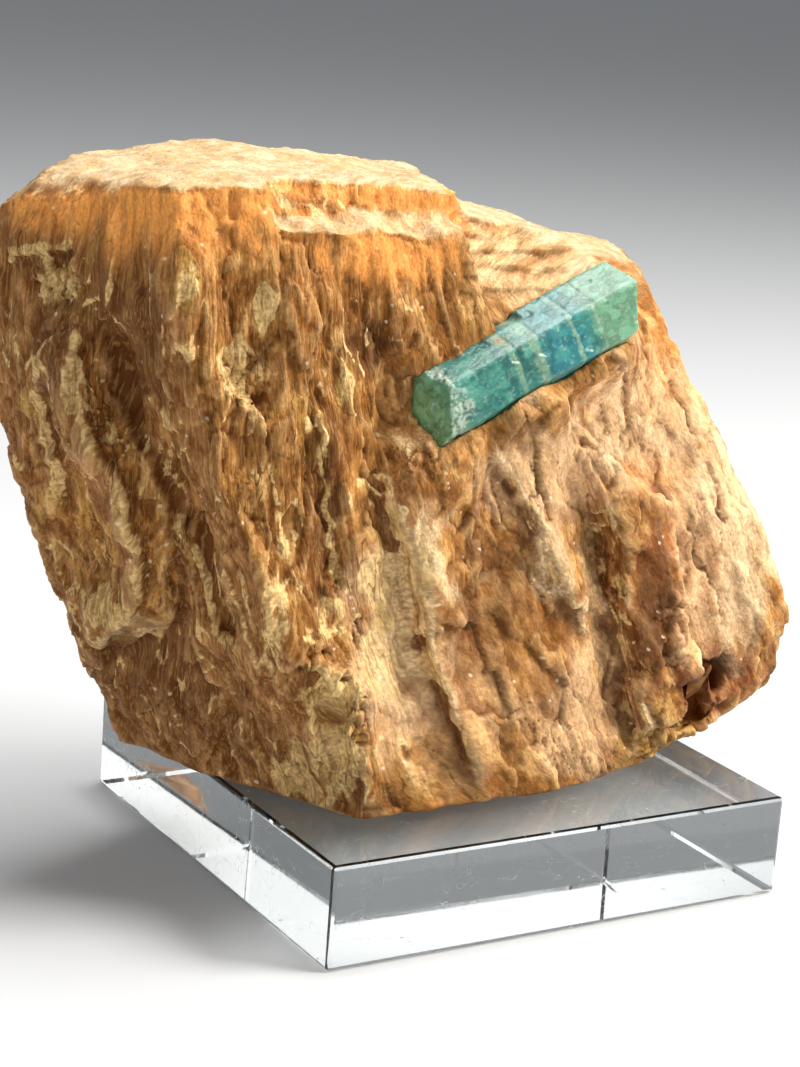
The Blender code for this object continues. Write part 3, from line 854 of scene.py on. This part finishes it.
class Nodes:
    """Short ways to add shader nodes to a material."""

    def __init__(self, name, place):
        self.material = bpy.data.materials.new(name)
        self.material.use_nodes = True
        self.tree = self.material.node_tree
        self.shader = self.tree.nodes["Principled BSDF"]
        layer = self.add("ShaderNodeAttribute", attribute_name=place)
        self.place = layer.outputs["Vector"]

    def add(self, kind, **settings):
        node = self.tree.nodes.new(kind)
        for key, value in settings.items():
            setattr(node, key, value)
        return node

    def link(self, source, target):
        self.tree.links.new(source, target)

    def fill(self, socket, value):
        """Link the value if it comes from a node, and set it otherwise."""
        if isinstance(value, bpy.types.NodeSocket):
            self.link(value, socket)
        elif isinstance(value, tuple) and len(value) == 3 and socket.type == "RGBA":
            socket.default_value = (*value, 1.0)
        else:
            socket.default_value = value

    def set(self, name, value):
        """Link or set the shader's socket of this name."""
        self.fill(self.shader.inputs[name], value)

    def scaled(self, across, along):
        """The piece's own positions counted in cells of the given sizes (mm)."""
        node = self.add("ShaderNodeMapping")
        self.link(self.place, node.inputs["Vector"])
        node.inputs["Scale"].default_value = (1.0 / across, 1.0 / across, 1.0 / along)
        return node.outputs["Vector"]

    def noise(self, across, along, detail=3.0, distortion=0.0):
        node = self.add("ShaderNodeTexNoise")
        self.link(self.scaled(across, along), node.inputs["Vector"])
        node.inputs["Scale"].default_value = 1.0
        node.inputs["Detail"].default_value = detail
        node.inputs["Distortion"].default_value = distortion
        return node.outputs["Fac"]

    def math(self, operation, first, second=0.0):
        node = self.add("ShaderNodeMath", operation=operation)
        self.fill(node.inputs[0], first)
        self.fill(node.inputs[1], second)
        return node.outputs[0]

    def times(self, first, second):
        return self.math("MULTIPLY", first, second)

    def span(self, value, low, high, to_low=0.0, to_high=1.0):
        """The value's stretch from low to high spread over to_low to to_high."""
        node = self.add("ShaderNodeMapRange")
        self.fill(node.inputs["Value"], value)
        limits = {"From Min": low, "From Max": high, "To Min": to_low, "To Max": to_high}
        for name, limit in limits.items():
            node.inputs[name].default_value = limit
        return node.outputs["Result"]

    def mix(self, share, first, second, blend="MIX"):
        """Two colours, or two plain values, mixed by a share."""
        node = self.add("ShaderNodeMix", data_type="RGBA", blend_type=blend)
        self.fill(node.inputs["Factor"], share)
        self.fill(node.inputs["A"], first)
        self.fill(node.inputs["B"], second)
        return node.outputs["Result"]

    def channels(self, name):
        """The three values kept on the mesh under this name, each from 0 to 1."""
        layer = self.add("ShaderNodeAttribute", attribute_name=name)
        parts = self.add("ShaderNodeSeparateColor")
        self.link(layer.outputs["Color"], parts.inputs["Color"])
        return parts.outputs["Red"], parts.outputs["Green"], parts.outputs["Blue"]

    def contour(self, across, along, width, rare, patch):
        """Thin winding lines, kept only in patches: rare says how much of the surface has none."""
        off_line = self.math("ABSOLUTE", self.math("SUBTRACT", self.noise(across, along, 2.0), 0.5))
        line = self.span(off_line, width, 0.35 * width)
        return self.times(line, self.span(self.noise(patch, 2.0 * patch, 1.0), rare, rare + 0.05))

    def grain(self, across, along):
        """Angular grains (mm): two random values for each, and the distance from its middle."""
        node = self.add("ShaderNodeTexVoronoi")
        self.link(self.scaled(across, along), node.inputs["Vector"])
        node.inputs["Scale"].default_value = 1.0
        parts = self.add("ShaderNodeSeparateColor")
        self.link(node.outputs["Color"], parts.inputs["Color"])
        return parts.outputs["Red"], parts.outputs["Green"], node.outputs["Distance"]

    def cells(self, across, along):
        """A random value for each angular grain."""
        return self.grain(across, along)[1]

    def crisp(self, tint, ragged):
        """A soft patch turned into one with a sharp, ragged outline."""
        return self.span(self.math("ADD", tint, self.span(ragged, 0.3, 0.7, -0.3, 0.3)), 0.42, 0.54)

    def specks(self, spacing, size, rare):
        """Small round flecks; rare says how many of the possible ones are missing."""
        chance, _, distance = self.grain(spacing, spacing)
        there = self.math("GREATER_THAN", chance, rare)
        return self.times(there, self.span(distance, size, 0.6 * size))

    def bump(self, height, strength, depth, below=None):
        node = self.add("ShaderNodeBump")
        node.inputs["Strength"].default_value = strength
        node.inputs["Distance"].default_value = depth * MM
        self.link(height, node.inputs["Height"])
        if below is not None:
            self.link(below, node.inputs["Normal"])
        return node.outputs["Normal"]


class FeldsparNodes(Nodes):
    """What the feldspar's colour and small relief depend on."""

    def __init__(self):
        super().__init__("feldspar", "grain")
        self.dark, self.pale, self.orange = self.channels("tints_and_painted_light")
        self.olive, self.pink, self.red = self.channels("hues")
        self.left, self.top, self.fibrous = self.channels("sides")
        self.hollow, self.proud, self.block = self.channels("relief")
        self.mottle = self.noise(1.7, 3.0, 3.0)
        self.sugar = self.noise(0.24, 0.34, 2.0)
        self.streaks = self.noise(0.38, 14.0, 2.0)
        self.grains = self.cells(0.36, 0.5)
        self.loose_grain = self.span(self.fibrous, 0.0, 1.0, 1.0, 0.25)
        self.crust = self.crisp(self.olive, self.mottle)
        ragged = self.span(self.streaks, 0.3, 0.6, 0.8, 1.0)
        # The orange tint, with the painted glow in it, broken by the streaks
        self.glow = self.times(self.orange, ragged)
        calm = self.math("MAXIMUM", self.times(self.glow, 0.7), self.times(self.top, 0.9))
        self.lively = self.times(self.span(self.fibrous, 0.0, 1.0, 0.18, 1.0),
                                 self.math("SUBTRACT", 1.0, calm))


def plain_stone(n):
    """Chestnut, tan and peach in cloudy patches, and darker on the left face."""
    drift = n.noise(7.0, 12.0, 2.0)
    colour = n.mix(n.span(drift, 0.38, 0.62), CHESTNUT, TAN)
    colour = n.mix(n.span(n.mottle, 0.52, 0.62, 0.0, 0.75), colour, PEACH)
    colour = n.mix(n.span(n.mottle, 0.47, 0.37, 0.0, 0.7), colour, UMBER)
    left_colour = n.mix(n.span(n.mottle, 0.38, 0.62), LEFT_UMBER, LEFT_TAN)
    return n.mix(n.times(n.left, 0.9), colour, left_colour)


def tinted_and_shaded(n, colour):
    """Pink, olive, red and dark tints, painted highlight on what stands out and painted shade in
    hollows.
    """
    colour = n.mix(n.times(n.pink, 0.85), colour, SALMON)
    colour = n.mix(n.times(n.crust, 0.75), colour, OLIVE_CRUST)
    colour = n.mix(n.times(n.red, 0.95), colour, RED_BROWN)
    colour = n.mix(n.span(n.block, 0.35, 0.65, 0.25, 0.0), colour, BLOCK_SHADE)
    # Painted highlight where the relief stands proud, and painted shade in its hollows
    colour = n.mix(n.span(n.proud, 0.2, 1.0, 0.0, 0.35), colour, PROUD_HIGHLIGHT)
    colour = n.mix(n.span(n.hollow, 0.1, 1.2, 0.0, 0.9), colour, HOLLOW_SHADE)
    # Dark patches and cracks, and painted shadow at the feet of the edges' steps
    return n.mix(n.times(n.dark, 0.85), colour, DEEP_BROWN)


def with_pale(n, colour):
    """Cream on broken edges, partly painted highlight on their lips, sharper and yellower where the
    stone is fibrous.
    """
    crisp_pale = n.crisp(n.pale, n.mottle)
    share = n.mix(n.span(n.fibrous, 0.0, 0.6), n.pale, crisp_pale)
    share = n.times(share, n.span(n.sugar, 0.35, 0.6, 0.6, 1.0))
    share = n.times(share, n.span(n.left, 0.0, 1.0, 0.95, 0.8))
    cream = n.mix(n.fibrous, CREAM, FIBROUS_CREAM)
    cream = n.mix(n.span(n.mottle, 0.40, 0.52, 0.6, 0.0), cream, DIRTY_CREAM)
    return n.mix(share, colour, cream)


def with_glow_and_top(n, colour):
    """Painted amber glow below the top, and cream on the top."""
    colour = n.mix(n.glow, colour, n.mix(n.left, FRONT_AMBER, LEFT_AMBER))
    top_colour = n.mix(n.span(n.mottle, 0.4, 0.6), TOP_TAN, TOP_CREAM)
    return n.mix(n.times(n.top, 0.9), colour, top_colour)


def streaked(n, colour):
    """Dark grooves and light fibres along the grain."""
    grooves = n.times(n.lively, n.span(n.streaks, 0.48, 0.40))
    colour = n.mix(n.times(grooves, 0.5), colour, GROOVE_SHADE)
    threads = n.noise(0.17, 4.5, 1.0)
    fibres = n.times(n.lively, n.span(threads, 0.54, 0.64))
    return n.mix(n.times(fibres, 0.3), colour, FIBRE_LIGHT)


def grained(n, colour):
    """Lighter and darker grains, white specks painted as sparkle, and thin dark cracks."""
    colour = n.mix(1.0, colour, n.span(n.sugar, 0.32, 0.68, 0.82, 1.18), "MULTIPLY")
    for cells, low in ((n.grains, 0.86), (n.cells(1.5, 3.6), 0.84)):
        shaded = n.mix(1.0, colour, n.span(cells, 0.0, 1.0, low, 1.14), "MULTIPLY")
        colour = n.mix(n.loose_grain, colour, shaded)
    # Painted glints: sparse white specks
    colour = n.mix(n.times(n.specks(0.9, 0.24, 0.94), 0.5), colour, SPARKLE_WHITE)
    cracks = n.times(n.contour(2.2, 22.0, 0.006, 0.52, 3.0), n.lively)
    return n.mix(n.times(cracks, 0.8), colour, CRACK_SHADE)


def small_relief(n):
    """Grains, streaks and crusts too small for the mesh."""
    small = n.math("ADD", n.sugar, n.times(n.grains, n.loose_grain))
    upright = n.times(n.streaks, n.lively)
    uneven = n.times(n.mottle, n.span(n.fibrous, 0.0, 1.0, 1.0, 0.5))
    relief = n.bump(small, 0.8, 0.085)
    relief = n.bump(n.math("ADD", uneven, upright), 0.8, 0.26, relief)
    return n.bump(n.crust, 0.8, 0.15, relief)


def feldspar_material():
    """Feldspar: tan to chestnut, streaked along the grain, cream and painted highlight on edges,
    painted amber glow below the top.
    """
    n = FeldsparNodes()
    colour = plain_stone(n)
    for step in (tinted_and_shaded, with_pale, with_glow_and_top, streaked, grained):
        colour = step(n, colour)
    n.set("Base Color", colour)
    n.set("Roughness", n.span(n.mottle, 0.3, 0.7, 0.66, 0.42))
    n.set("Specular IOR Level", 0.2)
    n.set("Specular Tint", WAXY_SHEEN)
    n.set("Normal", small_relief(n))
    return n.material


def beryl_zones(n, along, clouds):
    """Teal and sea green along the beryl, a blue zone, and greener ends."""
    colour = n.mix(n.span(clouds, 0.36, 0.62), DEEP_TEAL, SEA_GREEN)
    blue = n.times(n.span(along, 0.6, 1.2), n.span(along, 6.6, 5.4))
    blue = n.times(blue, n.span(clouds, 0.36, 0.6, 0.95, 0.5))
    colour = n.mix(blue, colour, BLUE_ZONE)
    colour = n.mix(n.span(along, 6.4, 7.6, 0.0, 0.85), colour, RIGHT_END_GREEN)
    end_colour = n.mix(n.span(clouds, 0.40, 0.62), END_MOSS, END_LEAF)
    return n.mix(n.span(along, -8.6, -10.8, 0.0, 0.85), colour, end_colour)


def beryl_bands(n, colour, along, fine):
    """Dark and pale crack bands across the beryl."""
    for middle, half_width in BERYL_DARK_BANDS:
        away = n.math("ABSOLUTE", n.math("SUBTRACT", along, middle))
        colour = n.mix(n.span(away, half_width, 0.5 * half_width, 0.0, 0.7), colour, DARK_BAND)
    for middle, half_width in BERYL_BANDS:
        away = n.math("ABSOLUTE", n.math("SUBTRACT", along, middle))
        band = n.span(away, half_width, 0.5 * half_width)
        band = n.times(band, n.span(fine, 0.35, 0.6, 0.4, 0.85))
        colour = n.mix(band, colour, PALE_BAND)
    return colour


def beryl_material():
    """Beryl: teal with a blue zone, pale crack bands across it and a crusted olive left end."""
    n = Nodes("beryl", "along_crystal")
    crust, upper, rust = n.channels("zones")
    place = n.add("ShaderNodeSeparateXYZ")
    n.link(n.place, place.inputs["Vector"])
    clouds = n.noise(1.3, 1.7, 5.0, 0.6)
    fine = n.noise(0.35, 0.45, 4.0)
    flaws = n.cells(0.8, 1.1)
    along = n.math("ADD", place.outputs["Z"], n.span(clouds, 0.3, 0.7, -0.25, 0.25))
    colour = beryl_bands(n, beryl_zones(n, along, clouds), along, fine)
    deep = n.times(upper, n.span(along, -1.0, -4.0, 0.0, 0.55))
    colour = n.mix(deep, colour, UPPER_TEAL)
    # Painted sheen: paler colour on the beryl's upward faces, growing towards its right end
    painted_sheen = n.times(upper, n.span(along, -5.0, 1.0, 0.0, 0.55))
    painted_sheen = n.times(painted_sheen, n.span(fine, 0.3, 0.6, 0.6, 1.0))
    colour = n.mix(painted_sheen, colour, UPPER_SHEEN)
    colour = n.mix(1.0, colour, n.span(flaws, 0.0, 1.0, 0.72, 1.25), "MULTIPLY")
    crusted = n.times(crust, n.span(fine, 0.44, 0.56, 0.15, 0.95))
    colour = n.mix(crusted, colour, END_CRUST)
    colour = n.mix(n.span(fine, 0.56, 0.68, 0.0, 0.55), colour, VEIL)
    colour = n.mix(n.times(rust, 0.9), colour, RUST)
    n.set("Base Color", colour)
    n.set("Roughness", n.span(fine, 0.3, 0.7, 0.28, 0.48))
    n.set("IOR", BERYL_INDEX)
    n.set("Transmission Weight", 0.45)
    n.set("Subsurface Weight", 0.3)
    n.set("Subsurface Radius", (0.3, 1.0, 0.8))
    n.set("Subsurface Scale", 1.5 * MM)
    relief = n.bump(fine, 0.6, 0.10)
    relief = n.bump(flaws, 0.4, 0.06, relief)
    n.set("Normal", n.bump(clouds, 0.3, 0.2, relief))
    return n.material


def acrylic_material():
    """Clear polished acrylic with fine scratches and a little dust."""
    n = Nodes("acrylic", "position")
    scratches = n.contour(SCRATCH_SIZE * MM, SCRATCH_SIZE * MM, 0.004, 0.5, SCRATCH_PATCH * MM)
    dust = n.noise(DUST_SIZE * MM, DUST_SIZE * MM, 4.0, 1.0)
    n.set("Base Color", ACRYLIC_TINT)
    n.set("IOR", ACRYLIC_INDEX)
    n.set("Transmission Weight", 1.0)
    rough = n.math("ADD", n.span(dust, 0.55, 0.75, 0.02, 0.10), n.times(scratches, 0.3))
    n.set("Roughness", rough)
    faint_waves = n.noise(FACE_WAVES * MM, FACE_WAVES * MM, 1.0)
    n.set("Normal", n.bump(faint_waves, 0.1, 0.02))
    return n.material


def dress_stand():
    """The clear stand keeps its solid and gets its material."""
    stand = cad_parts["acrylic_base"]
    stand.material_slots[0].material = acrylic_material()


def floor():
    """A plain pale floor."""
    bm = bmesh.new()
    bmesh.ops.create_grid(bm, x_segments=1, y_segments=1, size=4.0)
    mesh = bpy.data.meshes.new("floor")
    bm.to_mesh(mesh)
    bm.free()
    made = bpy.data.objects.new("floor", mesh)
    made.location.z = -FLOOR_GAP
    bpy.context.scene.collection.objects.link(made)
    n = Nodes("floor_paint", "position")
    n.set("Base Color", FLOOR_COLOUR)
    n.set("Roughness", 0.6)
    mesh.materials.append(n.material)


def area_light(name, place, size, power, colour):
    """A soft square light: its place and size (m), power (W) and colour."""
    lamp = bpy.data.lights.new(name, "AREA")
    lamp.shape = "SQUARE"
    lamp.size = size
    lamp.energy = power
    lamp.color = colour
    made = bpy.data.objects.new(name, lamp)
    made.location = place
    made.rotation_euler = (Vector(LIGHT_AIM) - Vector(place)).to_track_quat("-Z", "Y").to_euler()
    bpy.context.scene.collection.objects.link(made)


def studio():
    """Soft light from above, a weaker one from the front right, and a pale room."""
    area_light("top_light", (0.06, 0.02, 0.45), 0.26, 2.1, (1.0, 0.97, 0.93))
    area_light("front_light", (0.34, -0.22, 0.34), 0.20, 3.6, (1.0, 0.96, 0.90))
    area_light("left_light", (-0.40, -0.20, 0.22), 0.25, 0.3, (1.0, 1.0, 1.0))
    world = bpy.data.worlds.new("room")
    world.use_nodes = True
    room = world.node_tree.nodes["Background"]
    room.inputs["Color"].default_value = ROOM_COLOUR
    room.inputs["Strength"].default_value = ROOM_STRENGTH
    bpy.context.scene.world = world


def camera():
    """The camera, at the photograph's viewing angle."""
    turn, dip, roll = CAMERA_TURN, CAMERA_DIP, CAMERA_ROLL
    back = Vector((math.sin(turn) * math.cos(dip), -math.cos(turn) * math.cos(dip), math.sin(dip)))
    right = (-back).cross(Vector((0.0, 0.0, 1.0))).normalized()
    up = right.cross(-back)
    rolled_right = math.cos(roll) * right + math.sin(roll) * up
    rolled_up = math.cos(roll) * up - math.sin(roll) * right
    lens = bpy.data.cameras.new("camera")
    lens.sensor_fit = "VERTICAL"
    lens.sensor_height = 36.0
    lens.lens = CAMERA_LENS
    lens.clip_start = 0.01
    made = bpy.data.objects.new("camera", lens)
    made.matrix_world = Matrix.Translation(CAMERA_PLACE) @ Matrix(
        (rolled_right, rolled_up, back)).transposed().to_4x4()
    bpy.context.scene.collection.objects.link(made)
    bpy.context.scene.camera = made


bpy.context.scene.view_settings.view_transform = "Standard"
camera()
studio()
floor()
dress_stone()
dress_beryl()
dress_stand()
